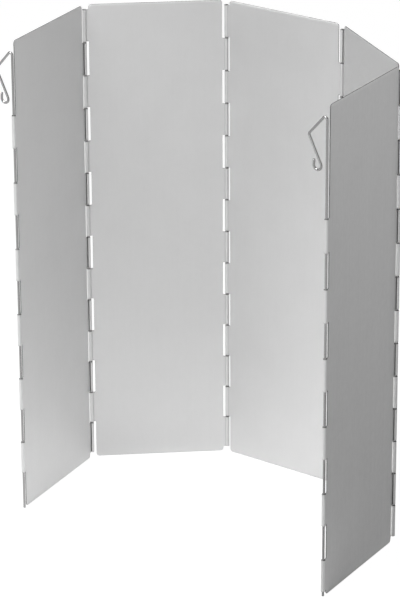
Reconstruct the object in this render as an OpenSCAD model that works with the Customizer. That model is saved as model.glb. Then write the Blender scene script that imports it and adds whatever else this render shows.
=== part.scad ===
// Folding stove windscreen: five sheet panels joined by rolled knuckles on wire pins,
// with a wire ground peg in the knuckles of each free edge.
// Millimetres, Z up. The centre panel stands on the X axis, the stove stands on its -Y side.

/* [Panels] */
// Height of every panel
panel_height = 500; // [250:5:700]
// Width of a panel between the feet of its two knuckle rows
panel_width = 145; // [90:1:220]
// Sheet thickness
sheet = 0.8; // [0.5:0.1:1.5]
// Radius on the corners of a panel
corner_radius = 3; // [1:0.5:8]

/* [Knuckles] */
// Places along one edge, filled in turn by the two panels that meet there
knuckle_places = 14; // [8:2:20]
// Height left free above the first place and below the last
end_inset = 4.5; // [2:0.5:12]
// Gap between neighbouring knuckles along the pin
knuckle_gap = 1.2; // [0.6:0.1:2.5]
// Depth of the notches in the sheet, from the foot of the knuckle row
notch_depth = 4.5; // [3.5:0.25:8]
// How far each tab is curled round its wire
curl_wrap = 310; // [270:5:315]
// Inner radius of the bend that leads a tab into its curl
neck_radius = 0.6; // [0.4:0.1:1.2]
// Gap left between two sheets folded flat on each other
fold_gap = 0.2; // [0.1:0.1:1]
// Gap all round a wire in a knuckle that turns or slides on it
running_clearance = 0.05; // [0.02:0.01:0.1]

/* [Wire] */
// Diameter of the hinge pins and the ground pegs
wire = 2.5; // [1.5:0.1:4]
// Length of the bevel on a cut wire end
wire_bevel = 0.5; // [0.2:0.1:1]
// How much thinner sheet and wire are drawn in a bend
bend_thinning = 0.06; // [0.04:0.01:0.1]

/* [Standing pose] */
// Turn between the left end panel and the left panel
turn_left_end = 57.5; // [0:0.5:120]
// Turn between the left panel and the centre panel
turn_left = 43; // [0:0.5:120]
// Turn between the centre panel and the right panel
turn_right = 32.5; // [0:0.5:90]
// Turn between the right panel and the right end panel
turn_right_end = 50.5; // [0:0.5:120]

/* [Ground pegs] */
// Drop from the top edge of a panel to the top of a peg
peg_drop = 10; // [4:1:30]
// Inner radius of the bends in the handle
bend_radius = 1.25; // [1:0.25:4]
// Fall of the upper side of the handle, below level
handle_fall = 48; // [30:1:60]
// Straight length of the upper side of the handle
upper_side = 23; // [14:0.5:35]
// Turn from the upper side of the handle into its lower side
handle_turn = 69; // [50:1:90]
// Straight length of the lower side of the handle
lower_side = 29; // [14:0.5:35]
// Inner radius of the hook at the end of the handle
hook_radius = 3; // [1:0.25:5]
// Turn of the hook
hook_turn = 211; // [150:1:220]
// Straight length of the hook's tip
hook_tip = 5.5; // [2:0.5:12]

/* [Hidden] */
bore = wire + 2 * running_clearance;
curl_radius = bore / 2 + sheet;
// The pin lines stand off the sheet by just enough to let two panels fold flat.
axis_offset = (sheet + fold_gap) / 2;
// The middle of the sheet runs along these radii in the curl and in the bend of the neck.
curl_line = bore / 2 + sheet / 2;
neck_line = neck_radius + sheet / 2;
neck_tilt = asin((axis_offset + neck_line) / (curl_line + neck_line));
neck_reach = (curl_line + neck_line) * cos(neck_tilt);
place_height = (panel_height - 2 * end_inset) / knuckle_places;
knuckle_height = place_height - knuckle_gap;
pin_length = place_height * knuckle_places - knuckle_gap;
odd_places = [for (k = [1 : 2 : knuckle_places]) k];
even_places = [for (k = [2 : 2 : knuckle_places]) k];
// The first knuckle of each free edge is left out to make room for the handle.
left_free_places = [for (k = [3 : 2 : knuckle_places]) k];
right_free_places = [for (k = [4 : 2 : knuckle_places]) k];
inner_side = -1;
outer_side = 1;
bend_line = bend_radius + wire / 2;
hook_line = hook_radius + wire / 2;
// Each bend runs on this many degrees inside what it joins.
bend_overlap = 5;
shank = panel_height - peg_drop - wire / 2 - bend_line;
left_end_heading = turn_left + turn_left_end;
right_end_heading = -turn_right - turn_right_end;
sheet_colour = [0.78, 0.79, 0.80];
wire_colour = [0.55, 0.56, 0.58];
$fn = 48;

// Lower end of a place, counted from the top.
function place_foot(k) = panel_height - end_inset - k * place_height + knuckle_gap / 2;

// Outline of the flat sheet between the notches, corners rounded.
module sheet_outline() {
    wide = panel_width - 2 * notch_depth;
    translate([corner_radius, 0])
        square([wide - 2 * corner_radius, panel_height]);
    translate([0, corner_radius])
        square([wide, panel_height - 2 * corner_radius]);
    for (x = [corner_radius, wide - corner_radius])
        for (y = [corner_radius, panel_height - corner_radius])
            translate([x, y])
                circle(r = corner_radius);
}

// One tab of the sheet: a flat root, a neck bent to the outer side and a curl round the wire.
module knuckle(hole) {
    translate([neck_reach, -sheet / 2, 0])
        cube([notch_depth + corner_radius - neck_reach, sheet, knuckle_height]);
    translate([neck_reach, neck_line, bend_thinning / 2])
        mirror([1, 0, 0])
            rotate([0, 0, -90 - bend_overlap])
                rotate_extrude(angle = 90 - neck_tilt + 2 * bend_overlap)
                    translate([neck_radius + bend_thinning / 2, 0])
                        square([sheet - bend_thinning, knuckle_height - bend_thinning]);
    translate([0, -axis_offset, 0])
        rotate([0, 0, neck_tilt])
            rotate_extrude(angle = curl_wrap)
                translate([hole / 2, 0])
                    square([curl_radius - hole / 2, knuckle_height]);
}

// A row of knuckles on the left edge. The knuckle at the place named by grip is closed on its pin.
module knuckle_row(side, places, grip = 0) {
    for (k = places)
        translate([0, 0, place_foot(k)])
            if (side == outer_side) {
                mirror([0, 1, 0])
                    knuckle(k == grip ? wire : bore);
            } else {
                knuckle(k == grip ? wire : bore);
            }
}

// A panel with its left foot line on Z and its sheet along X. +Y is the outer face.
module panel(left_side, left_places, right_side, right_places, grip = 0) {
    translate([notch_depth, sheet / 2, 0])
        rotate([90, 0, 0])
            linear_extrude(height = sheet)
                sheet_outline();
    knuckle_row(left_side, left_places, grip);
    translate([panel_width, 0, 0])
        mirror([1, 0, 0])
            knuckle_row(right_side, right_places);
}

// Places of the panels in the standing screen, each hung on its neighbour's pin line.
module at_centre() {
    translate([-panel_width / 2, 0, 0])
        children();
}

module at_left() {
    at_centre()
        translate([0, axis_offset, 0])
            rotate([0, 0, turn_left])
                translate([-panel_width, -axis_offset, 0])
                    children();
}

module at_left_end() {
    at_left()
        translate([0, -axis_offset, 0])
            rotate([0, 0, turn_left_end])
                translate([-panel_width, axis_offset, 0])
                    children();
}

module at_right() {
    at_centre()
        translate([panel_width, -axis_offset, 0])
            rotate([0, 0, -turn_right])
                translate([0, axis_offset, 0])
                    children();
}

module at_right_end() {
    at_right()
        translate([panel_width, axis_offset, 0])
            rotate([0, 0, -turn_right_end])
                translate([0, -axis_offset, 0])
                    children();
}

// A straight wire with both ends bevelled, standing on the origin.
module bevelled_wire(length) {
    cylinder(d1 = wire - 2 * wire_bevel, d2 = wire, h = wire_bevel);
    translate([0, 0, wire_bevel])
        cylinder(d = wire, h = length - 2 * wire_bevel);
    translate([0, 0, length - wire_bevel])
        cylinder(d1 = wire, d2 = wire - 2 * wire_bevel, h = wire_bevel);
}

// A hinge pin on the left knuckle row of a panel.
module hinge_pin(side) {
    translate([0, side * axis_offset, place_foot(knuckle_places)])
        bevelled_wire(pin_length);
}

// A straight stretch of wire along Z. What follows it starts at its far end.
module straight(length) {
    cylinder(d = wire, h = length);
    translate([0, 0, length])
        children();
}

// A bend of the wire from +Z towards -X. What follows it starts at its far end.
module bend(radius, angle) {
    translate([-radius, 0, 0]) {
        rotate([90, 0, 0])
            rotate([0, 0, -bend_overlap])
                rotate_extrude(angle = angle + 2 * bend_overlap)
                    translate([radius, 0])
                        circle(d = wire - bend_thinning);
        rotate([0, -angle, 0])
            translate([radius, 0, 0])
                children();
    }
}

// The same bend towards +X.
module bend_out(radius, angle) {
    mirror([1, 0, 0])
        bend(radius, angle)
            mirror([1, 0, 0])
                children();
}

// Ground peg: a shank on Z, a handle bent out over +X and down again, a hook at its end.
module ground_peg() {
    cylinder(d1 = wire - 2 * wire_bevel, d2 = wire, h = wire_bevel);
    translate([0, 0, wire_bevel])
        straight(shank - wire_bevel)
            bend_out(bend_line, 90 + handle_fall)
                straight(upper_side)
                    bend_out(bend_line, handle_turn)
                        straight(lower_side)
                            bend(hook_line, hook_turn)
                                straight(hook_tip - wire_bevel)
                                    cylinder(d1 = wire, d2 = wire - 2 * wire_bevel, h = wire_bevel);
}

module left_end_panel() {
    color(sheet_colour)
        at_left_end()
            panel(inner_side, left_free_places, inner_side, even_places);
}

module left_panel() {
    color(sheet_colour)
        at_left()
            panel(inner_side, odd_places, outer_side, even_places, 1);
}

module centre_panel() {
    color(sheet_colour)
        at_centre()
            panel(outer_side, odd_places, inner_side, even_places, 1);
}

module right_panel() {
    color(sheet_colour)
        at_right()
            panel(inner_side, odd_places, outer_side, even_places, 1);
}

module right_end_panel() {
    color(sheet_colour)
        at_right_end()
            panel(outer_side, odd_places, inner_side, right_free_places, 1);
}

module left_end_pin() {
    color(wire_colour)
        at_left()
            hinge_pin(inner_side);
}

module left_pin() {
    color(wire_colour)
        at_centre()
            hinge_pin(outer_side);
}

module right_pin() {
    color(wire_colour)
        at_right()
            hinge_pin(inner_side);
}

module right_end_pin() {
    color(wire_colour)
        at_right_end()
            hinge_pin(outer_side);
}

// The handles of both pegs point along -X in the standing screen.
module left_peg() {
    color(wire_colour)
        at_left_end()
            translate([0, inner_side * axis_offset, 0])
                rotate([0, 0, 180 - left_end_heading])
                    ground_peg();
}

module right_peg() {
    color(wire_colour)
        at_right_end()
            translate([panel_width, inner_side * axis_offset, 0])
                rotate([0, 0, 180 - right_end_heading])
                    ground_peg();
}

left_end_panel();
left_panel();
centre_panel();
right_panel();
right_end_panel();
left_end_pin();
left_pin();
right_pin();
right_end_pin();
left_peg();
right_peg();
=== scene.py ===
# %% [markdown]
# # A folding windscreen for a camping stove
# Five upright sheets of satin aluminium stand in an open ring round a stove. Tabs along their
# edges are rolled round steel wires, so the ring folds flat, and a bent wire peg slides in the
# rolls of each free edge to hold the screen in the ground.
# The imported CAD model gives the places, the moving bodies and the overall size. Everything that
# shows is made here again as fine numpy surfaces that ride on those bodies.

import math

import bpy
import numpy as np
from mathutils import Matrix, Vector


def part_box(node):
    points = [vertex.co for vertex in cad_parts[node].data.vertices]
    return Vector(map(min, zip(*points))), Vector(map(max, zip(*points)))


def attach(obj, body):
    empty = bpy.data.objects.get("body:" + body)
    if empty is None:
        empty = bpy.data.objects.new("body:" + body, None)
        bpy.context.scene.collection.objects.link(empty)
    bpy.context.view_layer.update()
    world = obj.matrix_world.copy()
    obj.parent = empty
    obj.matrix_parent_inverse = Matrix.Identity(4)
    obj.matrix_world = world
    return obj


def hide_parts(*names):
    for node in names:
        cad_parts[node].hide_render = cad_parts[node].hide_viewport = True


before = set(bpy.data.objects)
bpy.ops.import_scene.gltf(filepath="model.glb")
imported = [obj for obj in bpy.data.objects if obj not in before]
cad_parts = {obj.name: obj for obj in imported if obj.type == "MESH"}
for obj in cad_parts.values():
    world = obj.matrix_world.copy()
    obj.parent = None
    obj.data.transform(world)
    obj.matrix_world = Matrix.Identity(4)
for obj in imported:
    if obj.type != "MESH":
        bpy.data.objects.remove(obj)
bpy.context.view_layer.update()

# %% [markdown]
# ## The camera
# The screen is seen from the front right and a little from above, through a long lens. A camera
# could be placed by hand with the viewport; here it was fitted to the corners of the panels, so it
# is given by its place, its heading, how far it looks down, and a very small roll. From those
# angles come its three axes, which are the columns of its matrix.

# %% Place the camera
camera_place = np.array([1.8501, -2.5327, 1.4210])
heading, look_down, roll = np.radians([37.712, 21.488, -0.327])
lens_mm, sensor_mm = 192.8, 36.0


def put_in_scene(thing, side, up, back, place):
    """Stand an object in the scene: its three axes and its place are the columns of its matrix."""
    matrix = np.eye(4)
    matrix[:3, :4] = np.stack([side, up, back, place], axis=1)
    thing.matrix_world = Matrix(matrix.tolist())
    bpy.context.scene.collection.objects.link(thing)


forward = np.array([
    -math.sin(heading) * math.cos(look_down),
    math.cos(heading) * math.cos(look_down),
    -math.sin(look_down),
])
level_right = np.array([math.cos(heading), math.sin(heading), 0.0])
level_up = np.cross(level_right, forward)
right = math.cos(roll) * level_right + math.sin(roll) * level_up
up = math.cos(roll) * level_up - math.sin(roll) * level_right

camera_data = bpy.data.cameras.new("camera")
camera_data.lens = lens_mm
camera_data.sensor_width = sensor_mm
camera = bpy.data.objects.new("camera", camera_data)
put_in_scene(camera, right, up, -forward, camera_place)
bpy.context.scene.camera = camera
print("camera", round(float(np.linalg.norm(camera_place)), 2), "m from the origin")

# %% [markdown]
# ## The blank of a panel
# Before it is rolled, a panel is a flat blank: a rectangle with rounded corners, with a row of tabs
# along each upright edge. The tabs of one panel stand opposite the gaps of the next, so an edge is
# divided into places that the two panels fill in turn. The sizes are those of the CAD model.

# %% Sizes of the blank
MM = 0.001
panel_height = 500 * MM
panel_width = 145 * MM
corner_radius = 3 * MM
notch_depth = 4.5 * MM
end_inset = 4.5 * MM
knuckle_gap = 1.2 * MM
knuckle_places = 14

place_height = (panel_height - 2 * end_inset) / knuckle_places
knuckle_height = place_height - knuckle_gap
place_number = np.arange(1, knuckle_places + 1)
place_foot = panel_height - end_inset - place_number * place_height + knuckle_gap / 2
odd, even = place_number[::2], place_number[1::2]
low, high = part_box("centre_panel")
print("centre panel", [round((b - a) / MM, 2) for a, b in zip(low, high)], "mm,",
      "one knuckle", round(knuckle_height / MM, 2), "mm high")

# %% [markdown]
# ## The neck and the roll
# Each tab is bent a little to one side at its neck and then rolled to the other, so that the wire
# lies close to the middle of the sheet and two panels still fold flat. Two circles that touch give
# the place where the neck ends and the roll begins. The radii are those of the middle of the sheet.

# %% Sizes of the roll
wire_offset = 0.5 * MM
roll_radius = 1.7 * MM
roll_turn = math.radians(310)
neck_radius = 1.0 * MM

neck_tilt = math.asin((wire_offset + neck_radius) / (roll_radius + neck_radius))
neck_turn = math.pi / 2 - neck_tilt
neck_start = (roll_radius + neck_radius) * math.cos(neck_tilt)
roll_start = neck_start - neck_radius * neck_turn
print("along the blank, the neck begins", round(neck_start / MM, 2), "mm and the roll",
      round(roll_start / MM, 2), "mm from the foot line")

# %% [markdown]
# ## A grid over the blank
# The blank is covered by a grid of stations across (s) and rows up (z). Lines are close together
# where the sheet is rolled or rounded and far apart where it is flat. Modelling this by hand would
# mean many loop cuts; as arrays, the lines are just sorted numbers.

# %% Stations and rows
root_fillet = 0.5 * MM
roll_steps = np.linspace(0, 1, 31)
neck_steps = np.linspace(0, 1, 7)[1:]
quarter = np.radians(np.linspace(0, 90, 7))
tab_lines = np.array([2.9, 3.5]) * MM
margin_lines = np.array([1.5, 4.0]) * MM
margin, flat_lines = 5 * MM, 15
knuckle_rows = np.array([0, 0.02, 0.06, 0.2, 0.35, 0.5, 0.65, 0.8, 0.94, 0.98, 1])

edge_stations = np.concatenate([
    roll_start - roll_radius * roll_turn * (1 - roll_steps),
    neck_start - neck_radius * neck_turn * (1 - neck_steps),
    tab_lines,
    notch_depth - root_fillet + root_fillet * np.sin(quarter[::2]),
    notch_depth + corner_radius * (1 - np.cos(quarter[1:])),
    notch_depth + corner_radius + margin_lines,
])
inner_end = edge_stations[-1] + margin
stations = np.concatenate([
    edge_stations,
    np.linspace(inner_end, panel_width - inner_end, flat_lines),
    panel_width - edge_stations[::-1],
])
rows = np.sort(np.concatenate([
    [0, corner_radius, panel_height - corner_radius, panel_height],
    (place_foot[:, None] + knuckle_rows * knuckle_height).ravel(),
]))
print("grid of", len(stations), "stations by", len(rows), "rows")

# %% [markdown]
# ## Round corners and roots
# A stamped sheet has round corners, and a tab grows out of it in a small curve, so that it doesn't
# tear there. A bevel on chosen corner points would do that by hand. Here two formulas say how far a
# line of the grid has to move, from its distance inward from the foot line.

# %% Two curves for the outline
fillet_fade = 2.5 * MM


def corner_drop(inward):
    """How far the end of the sheet falls short of its full height: the corner's radius less the
    height of a quarter circle that starts on the notch line."""
    reach = np.clip(inward - notch_depth, 0, corner_radius)
    return corner_radius - np.sqrt(corner_radius**2 - (corner_radius - reach) ** 2)


def root_spread(inward):
    """How far the end line of a tab moves out at its root: a quarter circle that opens towards the
    notch line and then fades evenly into the sheet."""
    climb = np.clip(inward - (notch_depth - root_fillet), 0, root_fillet)
    arc = root_fillet - np.sqrt(root_fillet**2 - climb**2)
    return arc * np.clip(1 - (inward - notch_depth) / fillet_fade, 0, 1)


print("at the notch line a corner drops", round(float(corner_drop(notch_depth)) / MM, 2),
      "mm and a root spreads", round(float(root_spread(notch_depth)) / MM, 2), "mm")

# %% [markdown]
# ## Cutting the blank out of the grid
# A press would stamp the blank out of a strip in one stroke. Here a cell of the grid is kept where
# there is metal: everywhere between the notches, and in the tabs only at the places that this panel
# fills. A Boolean modifier could cut the notches too, but it would break up the even grid.

# %% The cut-out blank
TINY = 1e-9


def blank(left_places, right_places):
    """Stations, heights and faces of one blank. The top and bottom rows drop round the corners; a
    tab's first and last row spread at its root. Cells outside the metal are left out, and the
    pinched cell in each corner becomes a triangle."""
    from_left, from_right = stations, panel_width - stations
    s = np.repeat(stations[:, None], len(rows), axis=1)
    z = np.repeat(rows[None, :], len(stations), axis=0)
    drop = corner_drop(from_left) + corner_drop(from_right)
    z[:, 0] += drop
    z[:, -1] -= drop

    middles = (rows[1:] + rows[:-1]) / 2
    in_metal = np.zeros((len(stations) - 1, len(rows) - 1), dtype=bool)
    between = (from_left[:-1] > notch_depth - TINY) & (from_right[1:] > notch_depth - TINY)
    in_metal[between] = True
    for inward, outer_cells, places in (
        (from_left, from_left[1:] < notch_depth + TINY, left_places),
        (from_right, from_right[:-1] < notch_depth + TINY, right_places),
    ):
        feet = place_foot[places - 1]
        rises = middles[:, None] - feet
        in_tab = ((rises > 0) & (rises < knuckle_height)).any(axis=1)
        in_metal[np.ix_(outer_cells, in_tab)] = True
        at_foot = (np.abs(rows[:, None] - feet) < TINY).any(axis=1)
        at_head = (np.abs(rows[:, None] - feet - knuckle_height) < TINY).any(axis=1)
        z += root_spread(inward)[:, None] * (at_head.astype(float) - at_foot)

    index = np.arange(s.size).reshape(s.shape)
    first = int(np.argmin(np.abs(from_left - notch_depth)))
    last = int(np.argmin(np.abs(from_right - notch_depth)))
    index[[first, last], 0] = index[[first, last], 1]
    index[[first, last], -1] = index[[first, last], -2]
    cells = np.stack([index[:-1, :-1], index[:-1, 1:], index[1:, 1:], index[1:, :-1]], axis=-1)
    return s.ravel(), z.ravel(), cells[in_metal]


trial_blank = blank(odd, even)
print("a whole blank has", len(trial_blank[2]), "cells of metal")

# %% [markdown]
# ## Rolling the blank
# Rolling leaves lengths along the sheet unchanged, so a length divided by a radius is the angle that
# a point has gone round: first through the neck, then through the roll. A Simple Deform modifier
# could bend a sheet too, but it can't stop at a line, and the formula is short.

# %% The roll as a formula
def roll_up(s, z, off, left_side, right_side, slack):
    """Blank to panel. p is the distance from the nearer foot line. Up to the neck: x = p, y = off.
    In the neck, at the angle a: x = start - (n + off) sin a, y = (n + off) cos a - n. In the roll,
    at the angle b: x = (R - off) cos b, y = offset of the wire - (R - off) sin b. Both y and off are
    counted towards the rolled side: +1 is the outer face, -1 the inner. slack shortens a roll."""
    at_right = s > panel_width / 2
    side = np.where(at_right, right_side, left_side)
    p, off = np.where(at_right, panel_width - s, s), side * off
    a = np.clip((neck_start - p) / neck_radius, 0, neck_turn)
    b = neck_tilt + np.maximum(roll_start - p, 0) / roll_radius * slack
    flat_or_neck = p >= roll_start
    x = np.maximum(p, neck_start) - (neck_radius + off) * np.sin(a)
    y = (neck_radius + off) * np.cos(a) - neck_radius
    x = np.where(flat_or_neck, x, (roll_radius - off) * np.cos(b))
    y = np.where(flat_or_neck, y, wire_offset - (roll_radius - off) * np.sin(b))
    return np.stack([np.where(at_right, panel_width - x, x), side * y, z], axis=-1)


quarter_way = np.full(1, roll_start - roll_radius * math.pi / 2)
trial = roll_up(quarter_way, np.zeros(1), np.zeros(1), 1, 1, 1)
print("a quarter turn of the roll ends at", (trial[0] / MM).round(2), "mm")

# %% [markdown]
# ## From a surface to a sheet with an edge
# The sheet has two faces and a sheared edge round every tab and notch. A Solidify and a Bevel
# modifier would give that, but a bevel stops at the shortest edge that it meets. So the rim of the
# blank is found first, with the small step inward that its sharp corners are broken by.

# %% The rim of a blank
edge_break = 0.1 * MM


def rim_and_inset(s, z, cells):
    """Edges of the rim, and how far each point moves in. A rim edge is a side of only one cell. The
    direction at a rim point is the sum of its two edges' normals; twice that sum, divided by its
    squared length, moves both edges in by one edge_break."""
    count = len(s)
    sides = np.concatenate([np.stack([cells[:, k], cells[:, (k + 1) % 4]], 1) for k in range(4)])
    sides = sides[sides[:, 0] != sides[:, 1]]
    key, back_key = sides @ [count, 1], sides @ [1, count]
    rim = sides[~np.isin(key, back_key)]
    along = np.stack([s[rim[:, 1]] - s[rim[:, 0]], z[rim[:, 1]] - z[rim[:, 0]]], 1)
    along /= np.linalg.norm(along, axis=1, keepdims=True)
    normal = np.stack([-along[:, 1], along[:, 0]], 1)
    total = np.zeros((count, 2))
    np.add.at(total, rim[:, 0], normal)
    np.add.at(total, rim[:, 1], normal)
    square = np.maximum((total**2).sum(1, keepdims=True), TINY)
    return rim, 2 * total / square * edge_break * (square > TINY)


trial_rim, trial_inset = rim_and_inset(*trial_blank)
print("the rim has", len(trial_rim), "edges and moves in by up to",
      round(float(np.abs(trial_inset).max()) / MM, 2), "mm")

# %% [markdown]
# ## Two faces and a strip between them
# Both faces of the sheet are the same grid, half a thickness to either side of its middle and drawn
# in at the rim. The rim is a strip of three faces between them: a break, the cut, and a break. Each
# face is marked as outside, inside or rim, because each of those has a finish of its own.

# %% Thickness
sheet = 0.8 * MM
OUTSIDE, INSIDE, RIM = 0, 1, 2


def with_edge(s, z, cells):
    """Points (s, z, off), faces and the kind of each face of a thick blank. There are four layers of
    points: the two faces, and between them the two sides of the cut. The strip joins them in turn;
    the pinched cells are faces with three corners."""
    rim, inset = rim_and_inset(s, z, cells)
    used, rim_points = np.unique(cells), np.unique(rim)
    half, shoulder = sheet / 2, sheet / 2 - edge_break
    flat = np.stack([s, z], 1)
    layers = (
        (used, flat - inset, half), (used, flat - inset, -half),
        (rim_points, flat, shoulder), (rim_points, flat, -shoulder),
    )
    lookup, points, start = [], [], 0
    for chosen, place, off in layers:
        table = np.full(len(s), -1)
        table[chosen] = start + np.arange(len(chosen))
        start += len(chosen)
        lookup.append(table)
        points.append(np.column_stack([place[chosen], np.full(len(chosen), off)]))

    front, back, upper, lower = lookup
    a, b = rim[:, 0], rim[:, 1]
    strips = np.concatenate([
        np.stack([over[b], over[a], under[a], under[b]], 1)
        for over, under in ((front, upper), (upper, lower), (lower, back))
    ])
    pinched = (cells[:, 0] == cells[:, 1]) | (cells[:, 2] == cells[:, 3])
    whole, corners = cells[~pinched], cells[pinched]
    three = np.where((corners[:, 0] == corners[:, 1])[:, None], corners[:, [1, 2, 3]], corners[:, :3])
    quads = np.concatenate([front[whole], back[whole][:, ::-1], strips])
    faces = quads.tolist() + front[three].tolist() + back[three][:, ::-1].tolist()
    count_of = [len(whole)] * 2 + [len(strips)] + [len(three)] * 2
    return np.concatenate(points), faces, np.repeat([OUTSIDE, INSIDE, RIM, OUTSIDE, INSIDE], count_of)


trial_points, trial_faces, trial_kind = with_edge(*trial_blank)
print("a thick blank has", len(trial_points), "points and", len(trial_faces), "faces,",
      int((trial_kind == RIM).sum()), "of them on the rim")

# %% [markdown]
# ## Putting arrays into Blender
# A mesh takes plain lists of points and faces. The UV map is laid out in metres along the blank, so
# a finish that reads it runs round the rolls as the grain of the metal does. Faces of the sheet are
# smooth; the narrow strips of the rim stay flat, which keeps the edge crisp.

# %% A mesh from arrays
def add_piece(name, points, faces, uv, flat_faces, finishes, finish_of_face, shade_and_grime):
    """Make an object at the origin from points, faces, one UV and one share of grime and painted shade
    per point, and one finish per face."""
    mesh = bpy.data.meshes.new(name)
    mesh.from_pydata(points.tolist(), [], faces)
    corner = np.empty(len(mesh.loops), dtype=np.int32)
    mesh.loops.foreach_get("vertex_index", corner)
    mesh.uv_layers.new(name="blank").uv.foreach_set("vector", uv[corner].astype(np.float32).ravel())
    # Each point's share of darkening: painted shade in creases and between knuckles, and a little
    # grime.
    mesh.attributes.new("shade_and_grime", "FLOAT", "POINT").data.foreach_set("value", shade_and_grime.astype(np.float32))
    mesh.polygons.foreach_set("use_smooth", ~flat_faces)
    for finish in finishes:
        mesh.materials.append(finish)
    mesh.polygons.foreach_set("material_index", finish_of_face.astype(np.int32))
    mesh.update()
    piece = bpy.data.objects.new(name, mesh)
    bpy.context.scene.collection.objects.link(piece)
    return piece


# %% [markdown]
# ## Where the panels stand
# Each panel turns on the wires in its two rolled edges, so two upright lines fix its place: a hinge
# pin or a ground peg at its left and one at its right. The lines are read from the CAD model. As
# complex numbers, x + iy, the turn that brings a panel onto its lines is one division.

# %% Hinge lines from the frame
wire_radius = 1.25 * MM


def upright_line(node):
    """Plan position of a wire. A pin lies in the middle of its box; a peg's handle leaves the
    shank towards -X only, so the shank lies one wire radius inside the box's +X face."""
    low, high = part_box(node)
    middle_x = high[0] - wire_radius if node.endswith("peg") else (low[0] + high[0]) / 2
    return complex(middle_x, (low[1] + high[1]) / 2)


def stand_between(points, left_wire, left_side, right_wire, right_side):
    """Panel to its place, with the turn that brings it there: the span between the two wires divided
    by the span between the two rolls. Its angle turns the panel; its size is 1 if the width fits."""
    span = lines[right_wire] - lines[left_wire]
    turn = span / complex(panel_width, (right_side - left_side) * wire_offset)
    plan = points[:, 0] + 1j * (points[:, 1] - left_side * wire_offset)
    plan = lines[left_wire] + turn / abs(turn) * plan
    return np.column_stack([plan.real, plan.imag, points[:, 2]]), turn


lines = {node: upright_line(node) for node in (
    "left_peg", "left_end_pin", "left_pin", "right_pin", "right_end_pin", "right_peg")}
for node, line in lines.items():
    print(node, "stands at", round(line.real / MM, 2), round(line.imag / MM, 2), "mm")

# %% [markdown]
# ## Shader maths as Python
# A finish is a small network of nodes. Wiring it by hand hides the sum that it works out, so one
# class wraps a node's output, and + - * on it add the Math nodes. Every other kind of node comes
# from its node method. A short sum in a tree that is thrown away shows how it works.

# %% A wrapped socket
class Socket:
    """One output of a shader node. Arithmetic on it adds Math nodes to the same tree."""

    def __init__(self, tree, output=None):
        self.tree, self.output = tree, output

    def node(self, kind, settings=None, give=0, **inputs):
        """Add a node: first its settings, then values or links for its inputs, named as in Blender
        with _ for a space, or in_0, in_1 by number. give is the output that is handed on."""
        made = self.tree.nodes.new(kind)
        for key, value in (settings or {}).items():
            setattr(made, key, value)
        for key, value in inputs.items():
            slot = int(key[3:]) if key.startswith("in_") else key.replace("_", " ")
            if isinstance(value, Socket):
                self.tree.links.new(value.output, made.inputs[slot])
            else:
                made.inputs[slot].default_value = value
        return Socket(self.tree, made.outputs[give] if made.outputs else None)

    def maths(self, operation, first, second):
        """The Math node for one operation on two values or sockets."""
        return self.node("ShaderNodeMath", {"operation": operation}, in_0=first, in_1=second)

    def __add__(self, other):
        return self.maths("ADD", self, other)

    def __sub__(self, other):
        return self.maths("SUBTRACT", self, other)

    def __rsub__(self, other):
        return self.maths("SUBTRACT", other, self)

    def __mul__(self, other):
        return self.maths("MULTIPLY", self, other)

    __radd__, __rmul__ = __add__, __mul__


trial_tree = bpy.data.node_groups.new("trial", "ShaderNodeTree")
mask = Socket(trial_tree).node("ShaderNodeValue")
print("the last node of 1 - 0.5 * mask is", (1 - 0.5 * mask).output.node.operation.lower(),
      "in a tree of", len(trial_tree.nodes))
bpy.data.node_groups.remove(trial_tree)

# %% [markdown]
# ## Streaks along the metal
# Rolled sheet and drawn wire carry fine lines in the direction in which they were worked. A brushed
# look is often an image; here it is a Noise texture on coordinates that a Mapping node stretches, so
# that the lines are a fraction of a millimetre wide and many centimetres long.

# %% Streaks and a new finish
def new_finish(name):
    """An empty material, and a socket with no output from which its nodes are made."""
    material = bpy.data.materials.new(name)
    material.use_nodes = True
    material.node_tree.nodes.clear()
    return material, Socket(material.node_tree)


def streaks(start, across_mm, along_mm, detail=2.0, shift=0.0):
    """Noise from 0 to 1 whose patches are across_mm wide in U and along_mm long in V."""
    uv = start.node("ShaderNodeUVMap", {"uv_map": "blank"})
    spread = (1 / (across_mm * MM), 1 / (along_mm * MM), 1.0)
    placed = start.node("ShaderNodeMapping", Vector=uv, Location=(shift, shift, shift), Scale=spread)
    return start.node("ShaderNodeTexNoise", Vector=placed, Scale=1.0, Detail=detail)


print("materials before the first new finish:", len(bpy.data.materials))

# %% [markdown]
# ## Bare metal with grime and painted shade
# Sheet, cut edge and wire are all bare metal, so one function builds the three. Bare metal has no
# colour under its shine: its grey is the tint of what it mirrors, and roughness spreads the mirror
# image. Grime and shade could be painted on by hand; here each point of a mesh stores its share of a
# darkening that is painted shade in creases and between parts, and partly grime.

# %% A metal surface
# The tone of the deepest painted shade and grime, and how much duller that makes the metal.
shade_and_grime_tone, soot_roughness = 0.12, 0.15


def grey(level):
    """A colour with the same level in red, green and blue."""
    return (level, level, level, 1)


def mix_colours(start, share, first, second):
    """From the first colour to the second by a share. A Mix node has its colours at inputs 6 and 7
    and gives the mixed colour at output 2."""
    return start.node(
        "ShaderNodeMix", {"data_type": "RGBA"}, give=2, in_0=share, in_6=first, in_7=second)


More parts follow.
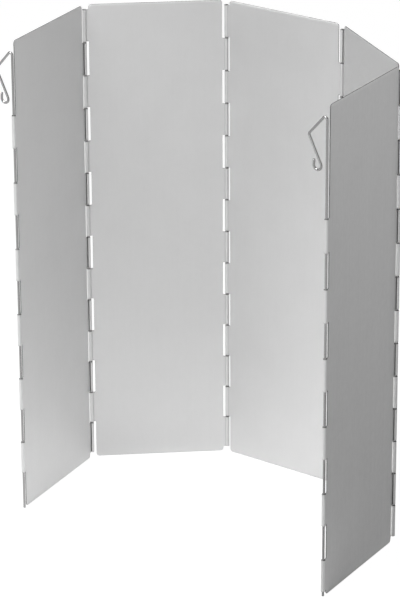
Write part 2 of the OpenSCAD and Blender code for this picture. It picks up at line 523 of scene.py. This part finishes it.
def metal(start, tones, tone, rough, bump_height, bump_mm, bump_strength):
    """A metallic surface: its grey runs between two tones and goes darker with the painted shade and
    grime stored on the mesh, and duller with it; its roughness is given, and a height tilts the normal."""
    deep, pale = tones
    # Painted shade and grime: the share stored on each point darkens the colour.
    shade_and_grime = start.node("ShaderNodeAttribute", {"attribute_name": "shade_and_grime"}, give="Fac")
    clean = mix_colours(start, tone, grey(deep), grey(pale))
    normal = start.node(
        "ShaderNodeBump", Strength=bump_strength, Distance=bump_mm * MM, Height=bump_height)
    surface = start.node(
        "ShaderNodeBsdfPrincipled",
        Base_Color=mix_colours(start, shade_and_grime, clean, grey(shade_and_grime_tone)),
        Roughness=rough + soot_roughness * shade_and_grime, Normal=normal, Metallic=1.0)
    start.node("ShaderNodeOutputMaterial", in_0=surface)


print("grime at its fullest has the tone", shade_and_grime_tone, "and adds", soot_roughness, "to the roughness")

# %% [markdown]
# ## Satin aluminium
# The sheets have the soft sheen of rolled aluminium. Their outer face is brushed, with upright hair
# lines that catch the light; the inner face is smoother and only faintly lined. Both have a slight
# mottle from handling. The lines tilt the normal a little, which spreads a reflection sideways as
# real grain does, so one function makes both finishes and takes the strength of the grain.

# %% The sheet's two finishes
def satin_sheet(name, grain):
    """Rolled sheet. Four noises, each less its mean of 0.5, are weighed and added to a middle tone;
    the grain weighs those that come from rolling and brushing, and the height of the bump."""
    finish, start = new_finish(name)
    hair_lines = streaks(start, across_mm=0.35, along_mm=45, detail=3.0)
    bands = streaks(start, across_mm=3.0, along_mm=260, shift=7.3)
    cloud = streaks(start, across_mm=4.0, along_mm=7.0, shift=1.9)
    mottle = streaks(start, across_mm=28, along_mm=34, detail=3.0, shift=3.1)
    worked = 0.8 * (hair_lines - 0.5) + 0.4 * (bands - 0.5) + 0.6 * (cloud - 0.5)
    metal(
        start,
        tones=(0.77, 0.87),
        tone=0.5 + grain * worked + 0.4 * (mottle - 0.5),
        rough=0.50 + 0.14 * grain * (hair_lines - 0.5) + 0.06 * (mottle - 0.5),
        bump_height=hair_lines + 0.4 * bands,
        bump_mm=0.02,
        bump_strength=0.45 * grain,
    )
    print("finish:", finish.name, "with", len(finish.node_tree.nodes), "nodes")
    return finish


brushed_outside = satin_sheet("brushed_aluminium", grain=1.0)
satin_inside = satin_sheet("satin_aluminium", grain=0.3)

# %% [markdown]
# ## The sheared edge
# Where the blank was stamped out, the cut metal is duller and darker than the faces, with short marks
# of the tool across the thickness. It could be the same finish with a darker vertex colour; a finish
# of its own on the rim's faces is simpler to read and to change.

# %% The rim's finish
sheared, start = new_finish("sheared_edge")
tool_marks = streaks(start, across_mm=0.5, along_mm=0.5)
metal(
    start,
    tones=(0.10, 0.18),
    tone=tool_marks,
    rough=0.42 + 0.12 * tool_marks,
    bump_height=tool_marks,
    bump_mm=0.02,
    bump_strength=0.4,
)
print("finish:", sheared.name, "with", len(sheared.node_tree.nodes), "nodes")

# %% [markdown]
# ## Drawn steel wire
# The hinge pins and the pegs are bright wire, darker than the sheet. It was pulled through a die,
# so its lines run along its length, and it has dull patches where it was handled. The same streaks
# give both, because a wire's UV map runs round it and along it in metres too.

# %% The wire's finish
drawn, start = new_finish("drawn_steel_wire")
die_lines = streaks(start, across_mm=0.25, along_mm=30)
dull = streaks(start, across_mm=4.0, along_mm=9.0, detail=3.0, shift=5.7)
metal(
    start,
    tones=(0.32, 0.54),
    tone=0.6 * die_lines + 0.4 * dull,
    rough=0.12 + 0.06 * die_lines + 0.10 * dull,
    bump_height=die_lines,
    bump_mm=0.015,
    bump_strength=0.4,
)
print("finish:", drawn.name, "with", len(drawn.node_tree.nodes), "nodes")

# %% [markdown]
# ## A bowed sheet, with grime and painted shade
# The flat sheet bows by a few tenths of a millimetre, as sheet does that has been folded and packed.
# The necks and the ends of the tabs are painted darker: painted shade where the roll meets the sheet
# and where the knuckles meet, and a little grime where a cloth doesn't reach. A Displace modifier and
# a painted mask could give both; formulas on the blank need no brush.

# %% Bow, grime and painted shade
bow_height = 0.2 * MM
bow_waves, fewest_waves, most_waves = 3, 0.6, 2.2
neck_breadth, end_breadth = 0.6 * MM, 0.6 * MM
# Strength of the painted shade, with a little grime, in the necks and at the ends of the tabs.
neck_shade_and_grime, end_shade_and_grime = 0.25, 0.4


def bow(s, z, chance):
    """Distance of the sheet from its plane: a squared sine across, so it is nothing at the feet,
    times the mean of a few slow waves up the panel with chance phases and lengths."""
    phase = chance.uniform(0, 2 * math.pi, bow_waves)
    count = chance.uniform(fewest_waves, most_waves, bow_waves)
    waves = np.sin(np.outer(z / panel_height, count) * 2 * math.pi + phase).mean(axis=1)
    across = np.sin(math.pi * np.clip((s - notch_depth) / (panel_width - 2 * notch_depth), 0, 1))
    return bow_height * across**2 * waves


def crease_shade_and_grime(s, z):
    """Share of painted shade and grime, 0 to 1: shade painted where the roll meets the sheet and where
    the knuckles meet. It falls off as a bell from the neck of a tab, where the roll begins, and from
    the tab's two ends, and there is none on the flat sheet."""
    inward = np.minimum(s, panel_width - s)
    climb = np.mod(z - end_inset, place_height) - knuckle_gap / 2
    from_end = np.minimum(climb, knuckle_height - climb)
    neck = np.exp(-(((inward - (roll_start + neck_start) / 2) / neck_breadth) ** 2))
    ends = np.exp(-((from_end / end_breadth) ** 2))
    shade_and_grime = np.maximum(neck_shade_and_grime * neck, end_shade_and_grime * ends)
    return np.where(inward < notch_depth - root_fillet, shade_and_grime, 0.0)


trial_shade_and_grime = crease_shade_and_grime(trial_points[:, 0], trial_points[:, 1])
print("grime reaches a share of", round(float(trial_shade_and_grime.max()), 2), "on",
      int((trial_shade_and_grime > 0).sum()), "points of a blank")

# %% [markdown]
# ## Rolling the five panels
# Every panel comes from the same functions; what differs is the side on which each edge is rolled
# and the places that it fills. Sides alternate, so the ring folds in zigzag. A stamped tab never
# closes quite the same way twice, so each roll stops a few degrees earlier than the CAD one. The
# grain is shifted from panel to panel, so that no two sheets show the same streaks.

# %% Panels
INNER, OUTER = -1, 1
panels = (
    ("left_end_panel", "left_end_section", "left_peg", INNER, odd[1:], "left_end_pin", INNER, even),
    ("left_panel", "left_section", "left_end_pin", INNER, odd, "left_pin", OUTER, even),
    ("centre_panel", "centre_section", "left_pin", OUTER, odd, "right_pin", INNER, even),
    ("right_panel", "right_section", "right_pin", INNER, odd, "right_end_pin", OUTER, even),
    ("right_end_panel", "right_end_section", "right_end_pin", OUTER, odd, "right_peg", INNER, even[1:]),
)
first_seed = 41
least_turn = 0.96
panel_shift, inside_shift = 0.37, 0.19

for number, (node, body, left_wire, left_side, left_places,
             right_wire, right_side, right_places) in enumerate(panels):
    chance = np.random.default_rng(first_seed + number)
    blank_points, faces, kind = with_edge(*blank(left_places, right_places))
    s, z, off = blank_points.T
    place = np.clip((z - end_inset) / place_height, 0, knuckle_places - 1).astype(int)
    slack = chance.uniform(least_turn, 1, knuckle_places)[place]
    rolled = roll_up(s, z, off, left_side, right_side, slack)
    rolled[:, 1] += bow(s, z, chance)
    points, turn = stand_between(rolled, left_wire, left_side, right_wire, right_side)

    uv = np.column_stack([s + panel_shift * number + inside_shift * (off < 0), z])
    finishes = (brushed_outside, satin_inside, sheared)
    # The last argument is each point's share of painted shade and grime.
    piece = add_piece(
        node + "_rolled", points, faces, uv, kind == RIM, finishes, kind, crease_shade_and_grime(s, z))
    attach(piece, body)
    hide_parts(node)
    print(piece.name, len(faces), "faces, heading", round(math.degrees(np.angle(turn)), 2),
          "degrees, width error", round((abs(turn) - 1) * panel_width / MM, 4), "mm")

# %% [markdown]
# ## The path of a wire
# A pin is a straight wire and a peg a bent one. A maker bends a peg on a jig, one straight length and
# one bend after another, so the path is a list of just those. A Bezier curve could be drawn by eye
# instead, but it wouldn't give true round bends. The path stays in one upright plane.

# %% Straights and bends
bend_step_degrees = 6
straight_step = 12 * MM
fewest_points = 3


def bent_path(moves):
    """Points and headings along straights and bends. A move is (length, radius, turn in degrees):
    the heading a grows evenly along a bend, and a step is the radius times the sine and cosine
    differences of a. Heading 0 is up, and grows towards -X."""
    x, z, heading = [np.zeros(1)], [np.zeros(1)], [np.zeros(1)]
    for length, radius, degrees in moves:
        at, turn = heading[-1][-1], math.radians(degrees)
        if turn:
            count = max(fewest_points, int(abs(degrees) / bend_step_degrees))
            a = at + turn * np.linspace(0, 1, count)[1:]
            bend = math.copysign(radius, turn)
            across, rise = bend * (np.cos(a) - math.cos(at)), bend * (np.sin(a) - math.sin(at))
        else:
            count = max(fewest_points, int(length / straight_step))
            reach = length * np.linspace(0, 1, count)[1:]
            a = np.full(len(reach), at)
            across, rise = -reach * math.sin(at), reach * math.cos(at)
        x.append(x[-1][-1] + across)
        z.append(z[-1][-1] + rise)
        heading.append(a)
    return np.concatenate(x), np.concatenate(z), np.concatenate(heading)


trial_x, trial_z, trial_heading = bent_path([(20 * MM, 0, 0), (0, 5 * MM, 90)])
print("20 mm up and a square bend of 5 mm end at", round(float(trial_x[-1]) / MM, 2),
      round(float(trial_z[-1]) / MM, 2), "mm, heading", round(math.degrees(trial_heading[-1]), 1))

# %% [markdown]
# ## A ring carried along the path
# A round wire is a ring of points carried along its path and closed at both ends. A curve object with
# a round bevel would do as well, but the rings give the bevelled ends of a cut wire and a UV map in
# metres at once.

# %% Rings along a path
ring_points = 28
end_bevel = 0.5 * MM


def wire_mesh(line, foot, moves):
    """A round wire. Ring k holds the points P + r (cos t N + sin t Y), where P is on the path, N is
    across it in its plane, and Y is the plane's normal. r is less on the first and last ring, and
    each end is closed by a fan of triangles round one point."""
    x, z, heading = bent_path([(end_bevel, 0, 0), *moves, (end_bevel, 0, 0)])
    keep = np.concatenate([[0], np.arange(2, len(x) - 2), [len(x) - 1]])
    x, z, heading = x[keep], z[keep], heading[keep]
    radius = np.full(len(x), wire_radius)
    radius[[0, -1]] -= end_bevel
    t = np.linspace(0, 2 * math.pi, ring_points, endpoint=False)
    across = radius[:, None] * np.cos(t)
    rings = np.stack([
        x[:, None] + across * np.cos(heading)[:, None],
        radius[:, None] * np.sin(t),
        z[:, None] + across * np.sin(heading)[:, None],
    ], axis=-1)
    ends = np.array([[x[0], 0, z[0]], [x[-1], 0, z[-1]]])
    points = np.concatenate([rings.reshape(-1, 3), ends]) + [line.real, line.imag, foot]

    index = np.arange(len(x) * ring_points).reshape(len(x), ring_points)
    ahead = np.roll(index, -1, axis=1)
    quads = np.stack([index[:-1], ahead[:-1], ahead[1:], index[1:]], axis=-1).reshape(-1, 4)
    low, high = len(points) - 2, len(points) - 1
    caps = np.concatenate([
        np.stack([np.full(ring_points, low), ahead[0], index[0]], axis=1),
        np.stack([np.full(ring_points, high), index[-1], ahead[-1]], axis=1),
    ])
    travelled = np.concatenate([[0], np.cumsum(np.hypot(np.diff(x), np.diff(z)))])
    round_the_wire = wire_radius * np.minimum(t, 2 * math.pi - t)
    uv = np.stack(np.broadcast_arrays(round_the_wire, travelled[:, None]), axis=-1).reshape(-1, 2)
    uv = np.concatenate([uv, [[0, travelled[0]], [0, travelled[-1]]]])
    return points, quads.tolist() + caps.tolist(), uv, float(travelled[-1])


print("points of a ring are", round(2 * math.pi * wire_radius / ring_points / MM, 2), "mm apart")

# %% [markdown]
# ## Six wires
# Four straight pins hold the hinges and two bent pegs stand in the free edges. A peg's path runs up
# its shank, over the top bend, down and out along one side of the handle, back in along the other,
# and ends in a small hook that turns the opposite way. Its numbers are straight lengths, bend radii
# at the middle of the wire, and turns.

# %% Pins and pegs
pin_foot = place_foot[-1]
pin_length = panel_height - 2 * end_inset - knuckle_gap
peg_drop, bend_radius, hook_radius = 10 * MM, 2.5 * MM, 4.25 * MM
upper_side, lower_side, hook_end = 23 * MM, 29 * MM, 5.5 * MM
top_turn, side_turn, hook_turn = 138, 69, -211
shank = panel_height - peg_drop - wire_radius - bend_radius
peg_moves = [
    (shank - end_bevel, 0, 0), (0, bend_radius, top_turn),
    (upper_side, 0, 0), (0, bend_radius, side_turn),
    (lower_side, 0, 0), (0, hook_radius, hook_turn),
    (hook_end - end_bevel, 0, 0),
]
pin_moves = [(pin_length - 2 * end_bevel, 0, 0)]
wires = (
    ("left_end_pin", "left_section", pin_foot, pin_moves),
    ("left_pin", "centre_section", pin_foot, pin_moves),
    ("right_pin", "right_section", pin_foot, pin_moves),
    ("right_end_pin", "right_end_section", pin_foot, pin_moves),
    ("left_peg", "left_peg", 0.0, peg_moves),
    ("right_peg", "right_peg", 0.0, peg_moves),
)
for node, body, foot, moves in wires:
    points, faces, uv, length = wire_mesh(lines[node], foot, moves)
    none = np.zeros(len(faces), dtype=bool)
    piece = add_piece(node + "_wire", points, faces, uv, none, (drawn,), none, np.zeros(len(points)))
    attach(piece, body)
    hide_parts(node)
    print(piece.name, round(length / MM, 1), "mm of wire,", len(faces), "faces")

# %% [markdown]
# ## The floor
# The screen stands on a plain white floor. It is one large square, a hair below the lower edges of
# the panels, and no part of the object. A plane from the Add menu would be the same; here its size
# and level are named values.

# %% Floor
floor_half = 4.0
floor_level = -0.0004
floor_mesh = bpy.data.meshes.new("floor")
corners = floor_half * np.array([[-1, -1], [1, -1], [1, 1], [-1, 1]])
floor_mesh.from_pydata(np.column_stack([corners, np.full(4, floor_level)]).tolist(), [], [(0, 1, 2, 3)])
floor = bpy.data.objects.new("floor", floor_mesh)
bpy.context.scene.collection.objects.link(floor)
print("floor", 2 * floor_half, "m wide")

# %% [markdown]
# ## White without more light
# Light strong enough to turn a floor white would also wash out the metal. So a Light Path node gives
# the camera's rays a large share of plain white, and the lamps light only the rest. The share is so
# large here that the shadow on the floor fades to a level or two; a smaller one would bring it back.
# Rays that come by way of a reflection get a share of their own, which may change from place to place.

# %% Shares of white
ray_kinds = ("Is Camera Ray", "Is Glossy Ray", "Is Transmission Ray")


def white_share(start, of_camera, of_mirror):
    """How much plain white a ray sees: one share for the camera's rays, another for rays that come by
    way of a reflection or through something clear."""
    camera_ray, mirror_ray, through_ray = (
        start.node("ShaderNodeLightPath", give=kind) for kind in ray_kinds)
    return of_camera * camera_ray + of_mirror * (mirror_ray + through_ray)


def soft_step(start, value, ends, levels):
    """From one level to another while a value goes from one end to the other, with a soft start and
    a soft stop."""
    return start.node(
        "ShaderNodeMapRange", {"interpolation_type": "SMOOTHSTEP"},
        Value=value, From_Min=ends[0], From_Max=ends[1], To_Min=levels[0], To_Max=levels[1])


print("outputs of Light Path in use:", ", ".join(ray_kinds))

# %% [markdown]
# ## What the metal sees in the floor
# Reflections show much of the floor's white, so the metal has its pale surroundings in it. Only a long
# band to the right of the screen and behind it stays deep for them, like the unlit side of a room, and
# gives the outer face its deeper grey. A dark card beside the screen would do the same, but it would
# show in other views; the band is a stretched circle that only reflections see.

# %% The floor's finish
band_middle, band_heading, band_reach = (0.85, 0.75, 0.0), math.radians(66), (2.0, 0.5, 1.0)
band_core, band_end = 0.6, 1.1
band_share, floor_share, camera_share = 0.20, 0.57, 0.8
lit_level, white_strength = 0.3, 1.24

paper, start = new_finish("white_floor")
in_band = start.node(
    "ShaderNodeMapping", {"vector_type": "TEXTURE"},
    Vector=start.node("ShaderNodeTexCoord", give="Object"),
    Location=band_middle, Rotation=(0.0, 0.0, band_heading), Scale=band_reach)
from_band = start.node("ShaderNodeVectorMath", {"operation": "LENGTH"}, give="Value", in_0=in_band)
mirrored = soft_step(start, from_band, (band_core, band_end), (band_share, floor_share))
lit = start.node("ShaderNodeBsdfDiffuse", Color=grey(lit_level))
white = start.node("ShaderNodeEmission", Color=grey(1), Strength=white_strength)
seen = white_share(start, of_camera=camera_share, of_mirror=mirrored)
floor_surface = start.node("ShaderNodeMixShader", in_0=seen, in_1=lit, in_2=white)
start.node("ShaderNodeOutputMaterial", in_0=floor_surface)
floor_mesh.materials.append(paper)
print("finish:", paper.name, "with", len(paper.node_tree.nodes), "nodes")

# %% [markdown]
# ## The backdrop
# Behind the floor is a backdrop of the same white, made by the world. In reflections it is paler near
# the floor and deeper overhead, as a room is whose ceiling is not lit, so the round wires show a light
# and a dark side. A curved sheet of paper would do as well; the world has no edge that could show.

# %% Backdrop
wall_foot, wall_head = 0.0, 0.6
wall_share, ceiling_share = 0.6, 0.2
room_strength, backdrop_strength = 0.05, 1.0

world = bpy.data.worlds.new("studio")
bpy.context.scene.world = world
world.use_nodes = True
world.node_tree.nodes.clear()
start = Socket(world.node_tree)
rise = start.node(
    "ShaderNodeSeparateXYZ", give="Z", in_0=start.node("ShaderNodeTexCoord", give="Generated"))
walls = soft_step(start, rise, (wall_foot, wall_head), (wall_share, ceiling_share))
room = start.node("ShaderNodeBackground", Color=grey(1), Strength=room_strength)
backdrop = start.node("ShaderNodeBackground", Color=grey(1), Strength=backdrop_strength)
seen = white_share(start, of_camera=1.0, of_mirror=walls)
sky = start.node("ShaderNodeMixShader", in_0=seen, in_1=room, in_2=backdrop)
start.node("ShaderNodeOutputWorld", in_0=sky)
print("backdrop with", len(world.node_tree.nodes), "nodes")

# %% [markdown]
# ## The lamps
# Three large soft lamps add shape: a key lamp above the open side, with a narrow spread so that it
# falls into the ring, a weak one in front, and one for the outer faces at the back. Wide lamps suit
# satin metal, which shows every lamp as a soft patch of light.

# %% Lamps
def lamp(name, place, aim, size, watts, spread=180):
    """A rectangular lamp at a place, turned so that its back points away from its aim. Its side is
    level: the cross product of straight up and its back."""
    data = bpy.data.lights.new(name, "AREA")
    data.shape, data.size, data.size_y = "RECTANGLE", *size
    data.energy, data.spread = watts, math.radians(spread)
    back = np.array(place) - np.array(aim)
    back /= np.linalg.norm(back)
    side = np.cross([0, 0, 1], back)
    side /= np.linalg.norm(side)
    put_in_scene(bpy.data.objects.new(name, data), side, np.cross(back, side), back, place)
    print(name, watts, "W")


middle = (0.0, -0.1, 0.25)
lamp("key_lamp", (-0.5, -1.2, 1.8), aim=(-0.3, -0.4, 0.0), size=(1.2, 1.0), watts=11.5, spread=60)
lamp("front_lamp", (0.8, -2.6, 1.0), aim=middle, size=(1.6, 1.0), watts=1.05, spread=60)
lamp("rear_lamp", (-2.2, 1.6, 1.2), aim=middle, size=(1.6, 1.2), watts=3)
bpy.context.scene.view_settings.view_transform = "Standard"
